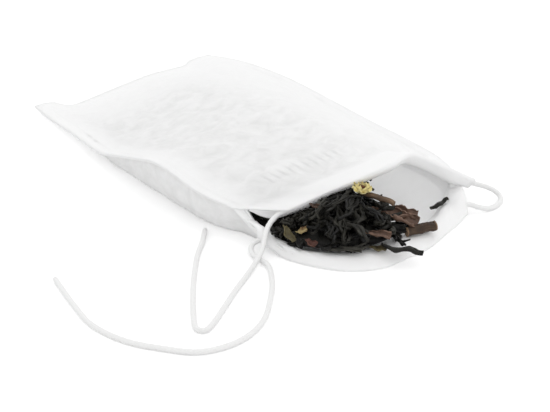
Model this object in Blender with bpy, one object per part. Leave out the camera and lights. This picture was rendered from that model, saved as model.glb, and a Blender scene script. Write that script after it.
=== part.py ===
"""Drawstring tea filter bag of non-woven fabric, filled with loose leaf tea.

The pouch lies on its side, with its mouth open towards +X. Sizes are in millimetres and
become metres where a mesh is made. The origin is under the middle of the pouch.
"""
import math
import random

import bmesh
import bpy
from mathutils import Matrix, Vector
from mathutils.bvhtree import BVHTree

MM = 0.001

# Driving sizes of the pouch
POUCH_LENGTH = 116.5      # closed corners to the furthest reach of the lower lip
POUCH_WIDTH = 59.0        # near side seam to far side seam
POUCH_HEIGHT = 16.0       # crown of the filled pouch above the table
FABRIC = 0.25             # what one ply adds outside the face where the two plies meet
SEAM_WIDTH = 3.0          # flat sealed strip along both sides and the closed end
HEM_WIDTH = 9.0           # fabric folded back along each lip

# Driving sizes of the drawstring
STRING_DIAMETER = 1.2
STRING_CLEARANCE = 0.45   # free space round the string in its hem
STRING_POINTS = 80

# Driving sizes of the tea
TEA_CLEARANCE = 0.35      # between any piece of tea and what it lies on or against
LEAF_LENGTH = 8.6         # a middling curled leaf
LEAF_WIDTH = 2.3
LEAF_THICKNESS = 1.5
LEAF_SHARE = 229.0        # square millimetres of the pouch to one loose leaf
PICKED_SPACING = 2.2      # kept free round the pieces that stand out
SETTLE_STEP = 0.1         # a piece is lifted by this much until it is clear
SETTLE_REACH = 4.0        # a leaf that needs more than this goes elsewhere
PICKED_REACH = 8.0        # the most that a piece that stands out is lifted
LEAF_TRIES = 900          # spots tried for one leaf

HEM_CHANNEL = STRING_DIAMETER + 2 * STRING_CLEARANCE
SEAM_END = 1 - HEM_WIDTH / POUCH_LENGTH   # where the side seams stop and the two hems part
END_STRIP = SEAM_WIDTH / POUCH_LENGTH
SIDE_STRIP = SEAM_WIDTH / POUCH_WIDTH
WALL_SHARE = 0.012                        # width that a side wall takes below its seam
WALL_BULGE = 0.22                         # how far it swells out, as a share of its height


def clear_scene():
    for item in list(bpy.data.objects):
        bpy.data.objects.remove(item, do_unlink=True)


def material(name, colour, roughness, metallic=0.0):
    made = bpy.data.materials.new(name)
    made.use_nodes = True
    shader = made.node_tree.nodes["Principled BSDF"]
    shader.inputs["Base Color"].default_value = (*colour, 1.0)
    shader.inputs["Roughness"].default_value = roughness
    shader.inputs["Metallic"].default_value = metallic
    return made


def mesh_object(name, shape, finish):
    bmesh.ops.recalc_face_normals(shape, faces=shape.faces)
    mesh = bpy.data.meshes.new(name)
    shape.to_mesh(mesh)
    shape.free()
    mesh.shade_smooth()
    mesh.materials.append(finish)
    made = bpy.data.objects.new(name, mesh)
    bpy.context.collection.objects.link(made)
    return made


# Outline of the pouch
def place(along, across, up):
    """A point given as shares of the pouch's length, width and height."""
    return Vector(((along - 0.5) * POUCH_LENGTH, (across - 0.5) * POUCH_WIDTH, up * POUCH_HEIGHT))


def length_shares(points):
    """How far along the whole line each point is, from 0 to 1."""
    steps = [(b - a).length for a, b in zip(points, points[1:])]
    return [sum(steps[:i]) / sum(steps) for i in range(len(points))]


def smooth_curve(points):
    """A curve through the points, run at an even pace from 0 to 1."""
    knots = length_shares(points)
    slopes = [(points[1] - points[0]) / (knots[1] - knots[0])]
    for i in range(1, len(points) - 1):
        slopes.append((points[i + 1] - points[i - 1]) / (knots[i + 1] - knots[i - 1]))
    slopes.append((points[-1] - points[-2]) / (knots[-1] - knots[-2]))

    def curve(share):
        share = min(1.0, max(0.0, share))
        i = max(k for k in range(len(points) - 1) if knots[k] <= share)
        span = knots[i + 1] - knots[i]
        u = (share - knots[i]) / span
        return ((2 * u**3 - 3 * u**2 + 1) * points[i] + (u**3 - 2 * u**2 + u) * span * slopes[i]
                + (3 * u**2 - 2 * u**3) * points[i + 1] + (u**3 - u**2) * span * slopes[i + 1])

    return curve


NEAR_CLOSED = place(0.0, 0.086, 0.07)
FAR_CLOSED = place(0.014, 0.955, 0.17)
NEAR_SPLIT = place(0.727, 0.06, 0.40)
FAR_SPLIT = place(0.83, 0.968, 0.24)

near_seam = smooth_curve([
    NEAR_CLOSED, place(0.064, 0.066, 0.08), place(0.174, 0.044, 0.12), place(0.261, 0.02, 0.16),
    place(0.322, 0.003, 0.21), place(0.38, 0.002, 0.32), place(0.453, 0.0, 0.47),
    place(0.51, 0.004, 0.56), place(0.575, 0.002, 0.56), place(0.642, 0.003, 0.51),
    place(0.69, 0.022, 0.47), NEAR_SPLIT])
far_seam = smooth_curve([
    FAR_CLOSED, place(0.085, 0.985, 0.24), place(0.166, 0.99, 0.32), place(0.291, 0.99, 0.38),
    place(0.428, 0.985, 0.38), place(0.566, 0.975, 0.38), place(0.675, 0.99, 0.34),
    place(0.762, 0.996, 0.29), FAR_SPLIT])
closed_end = smooth_curve([
    NEAR_CLOSED, place(0.045, 0.14, 0.08), place(0.056, 0.212, 0.11), place(0.058, 0.386, 0.19),
    place(0.056, 0.586, 0.26), place(0.041, 0.797, 0.2), FAR_CLOSED])
upper_lip = smooth_curve([
    place(0.805, 0.178, 0.46), place(0.83, 0.298, 0.63), place(0.855, 0.397, 0.79),
    place(0.88, 0.541, 0.97), place(0.87, 0.65, 1.0), place(0.862, 0.771, 0.76),
    place(0.862, 0.876, 0.51), place(0.88, 0.965, 0.3)])
lower_lip = smooth_curve([
    place(0.812, 0.083, 0.09), place(0.861, 0.097, 0.04), place(0.924, 0.15, 0.016),
    place(0.966, 0.22, 0.016), place(0.992, 0.325, 0.016), place(0.99, 0.456, 0.016),
    place(0.984, 0.564, 0.016), place(0.956, 0.712, 0.02), place(0.929, 0.847, 0.06)])
crown_line = smooth_curve([
    Vector((0.0, 0.23, 0)), Vector((0.08, 0.56, 0)), Vector((0.2, 0.84, 0)), Vector((0.36, 0.98, 0)),
    Vector((0.55, 1.0, 0)), Vector((0.78, 0.99, 0)), Vector((1.0, 0.94, 0))])


def level(share, start, stop):
    """0 up to start, 1 from stop on, and an even ramp between."""
    return min(1.0, max(0.0, (share - start) / (stop - start)))


def ease(share):
    return share * share * (3 - 2 * share)


def side_edge(seam, lip_end, s):
    """The outer edge of a side: its seam up to the split, then the free end of a hem."""
    if s <= SEAM_END:
        return seam(s / SEAM_END)
    return seam(1.0).lerp(lip_end, level(s, SEAM_END, 1))


def sheet_point(lip, s, v):
    """A ply stretched level between its edges, s along it and v across it from 0 to 1."""
    near, far = side_edge(near_seam, lip(0.0), s), side_edge(far_seam, lip(1.0), s)
    corners = ((1 - s) * NEAR_CLOSED.lerp(FAR_CLOSED, v) + s * lip(0.0).lerp(lip(1.0), v))
    point = (1 - s) * closed_end(v) + s * lip(v) + near.lerp(far, v) - corners
    end_strip = closed_end(v) + Vector((s * POUCH_LENGTH, 0, 0))
    point = point.lerp(end_strip, 1 - ease(level(s, END_STRIP, END_STRIP + 0.12)))
    across = far - near
    across.z = 0.0
    across.normalize()
    hold = 1 - level(s, SEAM_END, 1)
    near_strip = near + across * v * POUCH_WIDTH
    far_strip = far - across * (1 - v) * POUCH_WIDTH
    point = point.lerp(near_strip, hold * (1 - ease(level(v, SIDE_STRIP, SIDE_STRIP + 0.15))))
    return point.lerp(far_strip, hold * (1 - ease(level(1 - v, SIDE_STRIP, SIDE_STRIP + 0.15))))


def upper_point(s, v):
    """The face of the upper ply that meets the lower one."""
    point = sheet_point(upper_lip, s, v)
    crown = crown_line(s).y * POUCH_HEIGHT - FABRIC - sheet_point(upper_lip, s, 0.5).z
    swell = math.sin(math.pi * level(v, SIDE_STRIP, 1 - SIDE_STRIP)) ** 0.85
    start = ease(level(s, END_STRIP, END_STRIP + 0.03))
    finish = 1 - ease(level(s, 0.8, 1))
    point.z += crown * swell * start * finish
    return point


def lower_point(s, t):
    """The face of the lower ply that meets the upper one: strip, side wall, floor and back."""
    side = min(t, 1 - t)
    turn = math.pi * level(side, SIDE_COLUMN, WALL_COLUMN)
    free = ease(level(s, SEAM_END, 1))
    if side <= SIDE_COLUMN:
        v = SIDE_STRIP * side / SIDE_COLUMN
    else:
        v = SIDE_STRIP + WALL_SHARE * (1 - math.cos(turn)) / 2
        v += (0.5 - SIDE_STRIP - WALL_SHARE) * level(side, WALL_COLUMN, 0.5)
    v += (side - v) * free
    point = sheet_point(lower_lip, s, v if t < 0.5 else 1 - v)
    wall = (1 - math.cos(turn)) / 2 * ease(level(s, END_STRIP, END_STRIP + 0.05))
    drop = wall + (ease(level(side, 0, 2 * SIDE_COLUMN)) - wall) * free
    swell = WALL_BULGE * point.z * math.sin(turn) ** 0.6 * (1 - free)
    point.y += (-swell if t < 0.5 else swell) * ease(level(s, END_STRIP, END_STRIP + 0.1))
    point.z += (FABRIC - point.z) * drop
    return point


# The pouch as one folded and sealed skin
COLUMNS = 18
SIDE_COLUMN = 1 / COLUMNS                 # the sealed strip takes one column
WALL_COLUMN = 5 / COLUMNS                 # the side wall takes the next four
BODY_ROWS = 13
SPLIT_ROW = BODY_ROWS + 3                 # the row where the plies part into two hems
HEM_ROWS = (0.3, 0.6, 0.85, 1.0)          # the ply out to the lip, as shares of the hem
FOLDED_ROWS = ((1.0, 1.0), (0.8, 1.0), (0.6, 0.85), (0.42, 0.35), (0.3, 0.03))


def stations():
    """Rows along a ply: the sealed end, the body up to the split, then the hem."""
    listed = [0.0, END_STRIP, END_STRIP + 0.018, END_STRIP + 0.045]
    first = listed[-1]
    listed += [first + (SEAM_END - first) * (i + 1) / BODY_ROWS for i in range(BODY_ROWS)]
    return listed + [SEAM_END + (1 - SEAM_END) * share for share in HEM_ROWS]


def upright(point, s, v):
    """The upward normal of a face at s and v."""
    step = 0.004
    s0, s1 = max(0.0, s - step), min(1.0, s + step)
    v0, v1 = max(0.0, v - step), min(1.0, v + step)
    return (point(s1, v) - point(s0, v)).cross(point(s, v1) - point(s, v0)).normalized()


def ply_rows(point, out):
    """Both faces of a ply, row by row to the lip and back along its folded hem.

    out is 1 for the upper ply and -1 for the lower one. Each row lists the outer face's
    points, then the inner face's, which is the face where the two plies meet.
    """
    listed = []
    for s in stations():
        line = [(point(s, j / COLUMNS), upright(point, s, j / COLUMNS) * out)
                for j in range(COLUMNS + 1)]
        listed.append(([p + n * FABRIC for p, n in line], [p for p, n in line]))
    lip = [(point(1.0, j / COLUMNS), upright(point, 1.0, j / COLUMNS) * out,
            (point(1.0, j / COLUMNS) - point(0.98, j / COLUMNS)).normalized())
           for j in range(COLUMNS + 1)]
    half = HEM_CHANNEL / 2
    listed.append(([p - n * half + f * FABRIC for p, n, f in lip], [p - n * half for p, n, f in lip]))
    for share, bow in FOLDED_ROWS:
        s = SEAM_END + (1 - SEAM_END) * share
        line = [(point(s, j / COLUMNS), upright(point, s, j / COLUMNS) * out)
                for j in range(COLUMNS + 1)]
        depth = HEM_CHANNEL * bow
        listed.append(([p - n * (depth + FABRIC) for p, n in line],
                       [p - n * depth for p, n in line]))
    return listed


def fabric_pouch(finish):
    """Two plies sealed round three sides, each with its hem folded in along the lip."""
    shape = bmesh.new()
    upper, lower = ply_rows(upper_point, 1), ply_rows(lower_point, -1)
    last = len(upper) - 1

    def sealed(i, j):
        return i <= 1 or (i <= SPLIT_ROW and (j <= 1 or j >= COLUMNS - 1))

    def corners(rows, shared):
        made = {}
        for i, (outer, inner) in enumerate(rows):
            for j in range(COLUMNS + 1):
                made["outer", i, j] = shape.verts.new(outer[j] * MM)
                if sealed(i, j):
                    rim_of_cavity = (i >= 1 and 1 <= j <= COLUMNS - 1) or i == SPLIT_ROW
                    if rim_of_cavity:
                        if (i, j) not in shared:
                            shared[i, j] = shape.verts.new(inner[j] * MM)
                        made["inner", i, j] = shared[i, j]
                else:
                    made["inner", i, j] = shape.verts.new(inner[j] * MM)
        return made

    def face(ring, flip):
        shape.faces.new(ring[::-1] if flip else ring)

    shared = {}
    top, bottom = corners(upper, shared), corners(lower, shared)
    for ply, flip in ((top, False), (bottom, True)):
        for i in range(last):
            for j in range(COLUMNS):
                cell = [(i, j), (i + 1, j), (i + 1, j + 1), (i, j + 1)]
                face([ply[("outer", *c)] for c in cell], flip)
                if i >= 1 and (i >= SPLIT_ROW or 1 <= j < COLUMNS - 1):
                    face([ply[("inner", *c)] for c in cell], not flip)
        for j in range(COLUMNS):
            face([ply["outer", last, j], ply["inner", last, j], ply["inner", last, j + 1],
                  ply["outer", last, j + 1]], flip)
        for i in range(SPLIT_ROW, last):
            face([ply["outer", i, 0], ply["inner", i, 0], ply["inner", i + 1, 0],
                  ply["outer", i + 1, 0]], flip)
            face([ply["outer", i, COLUMNS], ply["outer", i + 1, COLUMNS],
                  ply["inner", i + 1, COLUMNS], ply["inner", i, COLUMNS]], flip)
    for i in range(SPLIT_ROW):
        for j, flip in ((0, False), (COLUMNS, True)):
            ring = [top["outer", i, j], bottom["outer", i, j], bottom["outer", i + 1, j]]
            if i == SPLIT_ROW - 1:
                ring.append(shared[SPLIT_ROW, j])
            face(ring + [top["outer", i + 1, j]], flip)
    for j in range(COLUMNS):
        face([top["outer", 0, j], top["outer", 0, j + 1], bottom["outer", 0, j + 1],
              bottom["outer", 0, j]], False)
    return mesh_object("filter_pouch", shape, finish)


# Tea
HEAP_ROWS = (0.09, 0.16, 0.24, 0.33, 0.42, 0.51, 0.6, 0.68, 0.75, 0.8, 0.84, 0.875, 0.905, 0.935,
             0.962)
HEAP_COLUMNS = 8


def heap_share(s, u):
    """How much of the pouch's height the tea fills, u from the near wall to its far edge."""
    front = 1 - 0.7 * ease(level(s, 0.87, 0.985))
    back = 0.35 + 0.65 * ease(level(s, HEAP_ROWS[0], 0.25))
    side = 1 - 0.8 * level(u, 0.55, 1) ** 2
    return 0.93 * front * back * side


def heap_across(s, u):
    far_limit = 0.84 - 0.27 * ease(level(s, 0.55, 0.88))
    near_limit = SIDE_STRIP + WALL_SHARE + 0.05 + 0.18 * ease(level(s, 0.7, 0.93))
    return near_limit + (far_limit - near_limit) * u


def heap_floor(s, u):
    """The bed of the tea on the lower ply, rising over the folded hem near the lip."""
    point = sheet_point(lower_lip, s, heap_across(s, u))
    over_hem = (HEM_CHANNEL + FABRIC) * ease(level(s, SEAM_END - 0.015, SEAM_END + 0.018))
    bed = FABRIC + TEA_CLEARANCE + over_hem
    point.z += (bed - point.z) * ease(level(s, END_STRIP, END_STRIP + 0.05))
    return point


def heap_top(s, u):
    """The free surface of the tea, which slopes down from the upper lip to the lower one."""
    low = heap_floor(s, u)
    high = upper_point(s, heap_across(s, u)) - Vector((0, 0, TEA_CLEARANCE))
    share = heap_share(s, u)
    point = low.lerp(high, share * share)
    hem_room = (HEM_CHANNEL + 2 * FABRIC + 3 * TEA_CLEARANCE) * (1.6 - 0.6 * level(u, 0, 0.6))
    hem_room *= ease(level(s, 0.78, 0.86))
    point.z = max(min(high.z * share, high.z - hem_room), low.z + 0.5)
    return point


def tea_heap(finish):
    """The packed tea behind the loose leaves, as one body between the plies."""
    along, across = len(HEAP_ROWS) - 1, HEAP_COLUMNS
    shape = bmesh.new()
    floor, top = ([[shape.verts.new(surface(s, j / across) * MM) for j in range(across + 1)]
                   for s in HEAP_ROWS] for surface in (heap_floor, heap_top))
    for i in range(along):
        for j in range(across):
            shape.faces.new([top[i][j], top[i + 1][j], top[i + 1][j + 1], top[i][j + 1]])
            shape.faces.new([floor[i][j + 1], floor[i + 1][j + 1], floor[i + 1][j], floor[i][j]])
    for i in range(along):
        shape.faces.new([floor[i][0], floor[i + 1][0], top[i + 1][0], top[i][0]])
        shape.faces.new([top[i][across], top[i + 1][across], floor[i + 1][across], floor[i][across]])
    for j in range(across):
        shape.faces.new([top[0][j], top[0][j + 1], floor[0][j + 1], floor[0][j]])
        shape.faces.new([floor[along][j], floor[along][j + 1], top[along][j + 1], top[along][j]])
    bmesh.ops.triangulate(shape, faces=shape.faces)
    return mesh_object("tea_heap", shape, finish)


def leaf_points(length, width, thickness, bend, twist, curl, rings=7, sides=8):
    """Rings of a rolled leaf about its own middle, tapered, bent, twisted and grooved."""
    listed = []
    for k in range(rings):
        along = (k + 0.5) / rings
        taper = math.sin(math.pi * along) ** 0.55
        x = (along - 0.5) * length
        ring = []
        for m in range(sides):
            angle = 2 * math.pi * m / sides
            y = width / 2 * taper * math.cos(angle)
            z = thickness / 2 * taper * math.sin(angle) + curl * y * y / width
            turned = Matrix.Rotation(twist * (along - 0.5), 3, "X") @ Vector((0, y, z))
            ring.append(Vector((x, turned.y + bend * length * (along - 0.5) ** 2, turned.z)))
        listed.append(ring)
    return listed


def loft(rings, placed):
    """A closed body through the rings, with its ends filled."""
    shape = bmesh.new()
    loops = [[shape.verts.new((placed @ p) * MM) for p in ring] for ring in rings]
    for a, b in zip(loops, loops[1:]):
        for m in range(len(a)):
            n = (m + 1) % len(a)
            shape.faces.new([a[m], b[m], b[n], a[n]])
    shape.faces.new(loops[0])
    shape.faces.new(loops[-1][::-1])
    return shape


def grown_tree(shape, growth):
    """A search tree over a body grown by a clearance."""
    shape.normal_update()
    shape.faces.ensure_lookup_table()
    shape.verts.ensure_lookup_table()
    points = [v.co + v.normal * growth * MM for v in shape.verts]
    return BVHTree.FromPolygons(points, [[v.index for v in f.verts] for f in shape.faces])


def object_tree(item):
    """A search tree over an object's faces, with a curve's bevel taken as faces too."""
    mesh = item.evaluated_get(bpy.context.evaluated_depsgraph_get()).to_mesh()
    return BVHTree.FromPolygons([v.co for v in mesh.vertices], [p.vertices[:] for p in mesh.polygons])


def tilted(normal):
    """A surface's direction turned partly upright, as pieces that bridge its dips lie."""
    return (normal + Vector((0, 0, 0.9))).normalized()


def heap_spot(s, u):
    """A point of the tea's free surface and the surface's direction there."""
    step = 0.01
    along = heap_top(s + step, u) - heap_top(s - step, u)
    across = heap_top(s, u + step) - heap_top(s, u - step)
    return heap_top(s, u), along.cross(across).normalized()


def settle(name, rings, base, normal, heading, finish, trees, reach):
    """Rest a piece over a spot, at the lowest step where it is clear of all placed before it.

    The first tree is the pouch's, and no piece is lifted through its plies.
    """
    forward = Vector((math.cos(heading), math.sin(heading), 0))
    forward = (forward - normal * forward.dot(normal)).normalized()
    turn = Matrix((forward, normal.cross(forward), normal)).transposed().to_4x4()
    lift = 0.0
    while lift < reach and not trees[0].ray_cast((base + normal * SETTLE_STEP) * MM, normal, lift * MM)[0]:
        shape = loft(rings, Matrix.Translation(base + normal * lift) @ turn)
        bmesh.ops.recalc_face_normals(shape, faces=shape.faces)
        grown = grown_tree(shape, TEA_CLEARANCE)
        if not any(grown.overlap(tree) for tree in trees):
            piece = mesh_object(name, shape, finish)
            trees.append(object_tree(piece))
            return piece
        shape.free()
        lift += SETTLE_STEP
    return None


def picked_pieces(trees, finishes):
    """The pieces that stand out, each on what lies under its spot."""
    spots = []
    for name, finish, size, form, spot, heading in PICKED:
        start = place(*spot)
        hits = [tree.ray_cast(start * MM, Vector((0, 0, -1))) for tree in trees]
        ground, normal = max(((hit[0], hit[1]) for hit in hits if hit[0]), key=lambda hit: hit[0].z)
        if not settle(name, leaf_points(*size, *form), ground / MM, tilted(normal),
                      math.radians(heading), finishes[finish], trees, PICKED_REACH):
            raise ValueError(name + " finds no clear place")
        spots.append(start)
    return spots


def loose_leaves(trees, spots, finish):
    """Curled leaves scattered over the mouth of the heap, round the pieces that stand out."""
    for number in range(1, round(POUCH_LENGTH * POUCH_WIDTH / LEAF_SHARE) + 1):
        draw = random.Random(number)
        size = (LEAF_LENGTH * draw.uniform(0.72, 1.2), LEAF_WIDTH * draw.uniform(0.7, 1.1),
                LEAF_THICKNESS * draw.uniform(0.85, 1.15))
        form = (draw.uniform(-0.5, 0.5), draw.uniform(-1.4, 1.4), draw.uniform(-0.5, 0.9))
        for _ in range(LEAF_TRIES):
            s, u, heading = draw.uniform(0.83, 0.985), draw.uniform(0.02, 0.94), draw.uniform(0, math.pi)
            base, normal = heap_spot(s, u)
            crowded = any((base - spot).xy.length < PICKED_SPACING for spot in spots)
            if not crowded and settle("curled_leaf_%02d" % number, leaf_points(*size, *form), base,
                                      tilted(normal), heading, finish, trees, SETTLE_REACH):
                break
        else:
            raise ValueError("curled leaf %d finds no clear place" % number)


# name, finish, (length, width, thickness), (bend, twist, curl), spot over its place, heading
PICKED = (
    ("bed_leaf", "black", (7.0, 3.4, 1.9), (0.1, 0.3, 0.2), (0.878, 0.415, 0.6), 60),
    ("flower_bud", "petal", (3.2, 2.8, 2.0), (0.0, 0.0, 0.2), (0.876, 0.418, 0.9), 20),
    ("big_leaf", "brown", (8.4, 3.9, 1.4), (0.12, 0.3, 0.2), (0.923, 0.535, 0.6), 32),
    ("stem", "brown", (7.0, 1.0, 0.9), (0.3, 0.3, 0.0), (0.884, 0.485, 0.7), 27),
    ("cut_twig", "brown", (8.0, 2.4, 1.7), (0.05, 0.2, 0.0), (0.962, 0.56, 0.5), 72),
    ("russet_leaf", "brown", (6.8, 2.6, 1.1), (0.1, 0.4, 0.6), (0.955, 0.368, 0.5), 31),
    ("olive_leaf", "olive", (4.4, 2.0, 0.9), (0.1, 0.4, 0.5), (0.968, 0.345, 0.5), 30),
    ("long_leaf", "black", (10.5, 1.5, 1.2), (0.4, 0.6, 0.4), (0.968, 0.39, 0.5), 38),
    ("olive_strip", "olive", (5.4, 1.8, 0.8), (0.1, 0.6, 0.3), (0.818, 0.2, 0.28), -40),
    ("flower_petal", "petal", (2.8, 2.0, 0.6), (0.1, 0.4, 0.3), (0.838, 0.22, 0.36), 40),
    ("brown_chip", "brown", (2.8, 2.0, 0.9), (0.0, 0.2, 0.3), (0.882, 0.19, 0.45), 60),
    ("brown_scrap", "brown", (2.4, 1.5, 0.8), (0.0, 0.2, 0.3), (0.838, 0.272, 0.6), 30),
    ("lip_leaf", "black", (5.4, 1.5, 1.1), (0.4, 0.6, 0.5), (0.898, 0.77, 0.4), 80),
)


# Drawstring
# Its route, from the end of the bent tail, through the upper hem, round the far corner,
# back through the lower hem and out along the table.
STRING_ROUTE = (
    (21.4, -29.9, 0.65), (25.6, -33.6, 0.65), (30.0, -38.0, 0.65), (36.2, -43.2, 0.65),
    (42.2, -47.8, 0.65), (51.1, -54.0, 0.65), (55.6, -56.5, 0.65), (57.2, -55.6, 0.65),
    (55.6, -52.2, 0.65), (47.9, -41.5, 0.65), (43.0, -34.2, 0.7), (40.3, -29.9, 1.4),
    (38.6, -27.2, 2.8), (37.2, -25.6, 4.2), (35.9, -23.9, 5.2), (34.9, -21.9, 5.9),
    (34.3, -19.5, 6.4), (35.1, -17.0, 7.1), (35.5, -14.1, 8.2), (37.0, -11.0, 9.8),
    (39.4, -6.4, 11.6), (41.5, -1.5, 13.3), (42.2, 2.6, 14.4), (41.8, 5.7, 14.8),
    (41.4, 8.6, 14.5), (40.8, 13.2, 12.0), (40.5, 17.9, 9.3), (41.1, 21.3, 6.6),
    (42.0, 24.1, 5.0), (42.8, 27.1, 3.7), (43.7, 29.4, 2.8), (45.4, 31.3, 2.0),
    (47.6, 31.9, 1.3), (49.6, 30.8, 0.8), (50.8, 28.4, 0.65), (51.0, 25.9, 0.75),
    (50.3, 23.6, 1.4), (48.9, 21.6, 2.2), (48.7, 18.2, 1.8), (48.9, 15.8, 1.4),
    (50.4, 12.6, 1.3), (52.5, 7.4, 1.2), (53.8, 0.3, 1.2), (54.3, -7.0, 1.2),
    (52.5, -13.9, 1.2), (47.9, -19.4, 1.2), (43.4, -22.4, 1.2), (41.2, -23.0, 1.25),
    (38.9, -23.45, 1.62), (37.3, -23.85, 2.07), (36.4, -24.45, 2.45), (35.5, -25.4, 2.55),
    (35.0, -26.7, 2.2), (35.4, -28.0, 1.5), (37.0, -28.8, 0.85), (39.6, -28.8, 0.65), (42.5, -29.0, 0.65),
    (46.7, -31.2, 0.65), (52.5, -35.5, 0.65),
    (61.5, -44.8, 0.65), (64.7, -53.1, 0.65), (63.4, -61.2, 0.65), (57.4, -66.6, 0.65),
    (50.8, -70.4, 0.65), (41.8, -72.0, 0.65), (32.3, -70.4, 0.65), (20.9, -67.6, 0.65),
)


def drawstring(finish):
    """A round string whose points lie closer together where its route turns."""
    route = [Vector(point) for point in STRING_ROUTE]
    line_at, knots = smooth_curve(route), length_shares(route)
    data = bpy.data.curves.new("drawstring", "CURVE")
    data.dimensions = "3D"
    data.bevel_depth = STRING_DIAMETER / 2 * MM
    data.bevel_resolution = 2
    data.use_fill_caps = True
    line = data.splines.new("POLY")
    line.points.add(STRING_POINTS - 1)
    for i, point in enumerate(line.points):
        k, part = divmod(i / (STRING_POINTS - 1) * (len(route) - 1), 1)
        start, stop = knots[int(k)], knots[min(int(k) + 1, len(route) - 1)]
        point.co = (*(line_at(start + (stop - start) * part) * MM), 1.0)
    data.materials.append(finish)
    made = bpy.data.objects.new("drawstring", data)
    bpy.context.collection.objects.link(made)
    return made


clear_scene()
cloth = material("nonwoven_fabric", (0.86, 0.86, 0.85), 0.85)
cotton = material("cotton_string", (0.84, 0.84, 0.83), 0.9)
leaf_finishes = {
    "black": material("black_tea", (0.02, 0.016, 0.013), 0.6),
    "brown": material("brown_leaf", (0.16, 0.075, 0.035), 0.7),
    "olive": material("olive_leaf", (0.16, 0.13, 0.05), 0.7),
    "petal": material("yellow_petal", (0.72, 0.5, 0.14), 0.7),
}
pouch = fabric_pouch(cloth)
string = drawstring(cotton)
heap = tea_heap(leaf_finishes["black"])
placed_trees = [object_tree(pouch), object_tree(string), object_tree(heap)]
picked_spots = picked_pieces(placed_trees, leaf_finishes)
loose_leaves(placed_trees, picked_spots, leaf_finishes["black"])
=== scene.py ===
import math
import random

import bmesh
import bpy
import numpy as np
from mathutils import Matrix, Vector, noise
from mathutils.bvhtree import BVHTree


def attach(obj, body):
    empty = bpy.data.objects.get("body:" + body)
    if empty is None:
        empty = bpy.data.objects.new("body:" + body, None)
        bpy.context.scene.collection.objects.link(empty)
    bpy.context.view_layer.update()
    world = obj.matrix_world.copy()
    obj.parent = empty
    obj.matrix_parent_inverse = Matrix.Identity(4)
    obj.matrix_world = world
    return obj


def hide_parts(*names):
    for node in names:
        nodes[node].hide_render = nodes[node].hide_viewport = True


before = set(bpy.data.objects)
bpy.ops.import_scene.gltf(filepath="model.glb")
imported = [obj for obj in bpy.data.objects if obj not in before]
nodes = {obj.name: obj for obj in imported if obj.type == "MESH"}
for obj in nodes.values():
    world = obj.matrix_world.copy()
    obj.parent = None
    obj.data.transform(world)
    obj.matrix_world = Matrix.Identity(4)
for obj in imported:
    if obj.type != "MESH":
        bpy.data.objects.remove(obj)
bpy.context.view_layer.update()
mm = 0.001
print("frame loaded:", len(nodes), "nodes")

# Camera, as the photograph was taken
view = {"eye": (0.33756, -0.25256, 0.19483), "aim": (0.02018, -0.00998, 0.0), "lens": 130.9, "sensor": 36}
cameraData = bpy.data.cameras.new("camera")
cameraData.lens = view["lens"]
cameraData.sensor_width = view["sensor"]
cameraData.clip_start = 0.01
camera = bpy.data.objects.new("camera", cameraData)
camera.location = view["eye"]
camera.rotation_euler = (Vector(view["aim"]) - Vector(view["eye"])).to_track_quat("-Z", "Y").to_euler()
bpy.context.collection.objects.link(camera)
bpy.context.scene.camera = camera
bpy.context.scene.view_settings.view_transform = "Standard"


# Small helpers
def level(share, start, stop):
    return min(1.0, max(0.0, (share - start) / (stop - start)))


def ease(share):
    return share * share * (3 - 2 * share)


def rise(share, start, stop):
    return ease(level(share, start, stop))


def lengthShares(points):
    steps = [(b - a).length for a, b in zip(points, points[1:])]
    return [sum(steps[:i]) / sum(steps) for i in range(len(points))]


def smoothCurve(points):
    knots = lengthShares(points)
    slopes = [(points[1] - points[0]) / (knots[1] - knots[0])]
    for i in range(1, len(points) - 1):
        slopes.append((points[i + 1] - points[i - 1]) / (knots[i + 1] - knots[i - 1]))
    slopes.append((points[-1] - points[-2]) / (knots[-1] - knots[-2]))

    def curve(share):
        share = min(1.0, max(0.0, share))
        i = max(k for k in range(len(points) - 1) if knots[k] <= share)
        span = knots[i + 1] - knots[i]
        u = (share - knots[i]) / span
        return ((2 * u**3 - 3 * u**2 + 1) * points[i] + (u**3 - 2 * u**2 + u) * span * slopes[i]
                + (3 * u**2 - 2 * u**3) * points[i + 1] + (u**3 - u**2) * span * slopes[i + 1])

    return curve


def gridShell(rows, columns):
    # a flat sheet with a thickness, whose corners are moved into place afterwards
    shape = bmesh.new()
    bmesh.ops.create_grid(shape, x_segments=rows, y_segments=columns, size=0.5)
    bmesh.ops.solidify(shape, geom=shape.faces[:], thickness=0.1)
    return shape


def gridSpot(vert, rows, columns):
    # row, column and side of the sheet that a corner belongs to
    return (round((vert.co.x + 0.5) * rows), round((vert.co.y + 0.5) * columns),
            abs(vert.co.z) > 0.05)


def joinInto(shape, part):
    mesh = bpy.data.meshes.new("part")
    part.to_mesh(mesh)
    part.free()
    shape.from_mesh(mesh)
    bpy.data.meshes.remove(mesh)


def finishMesh(name, shape, material, replaced=(), recalc=True):
    if recalc:
        bmesh.ops.recalc_face_normals(shape, faces=shape.faces)
    mesh = bpy.data.meshes.new(name)
    shape.to_mesh(mesh)
    shape.free()
    mesh.shade_smooth()
    mesh.materials.append(material)
    piece = bpy.data.objects.new(name, mesh)
    bpy.context.collection.objects.link(piece)
    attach(piece, "root")
    if replaced:
        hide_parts(*replaced)
    return piece


# Material building
def newMaterial(name):
    made = bpy.data.materials.new(name)
    made.use_nodes = True
    tree = made.node_tree
    return made, tree, tree.nodes["Principled BSDF"]


def node(tree, kind, **values):
    made = tree.nodes.new(kind)
    for key, value in values.items():
        if hasattr(made, key):
            setattr(made, key, value)
        else:
            made.inputs[key.replace("_", " ")].default_value = value
    return made


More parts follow.
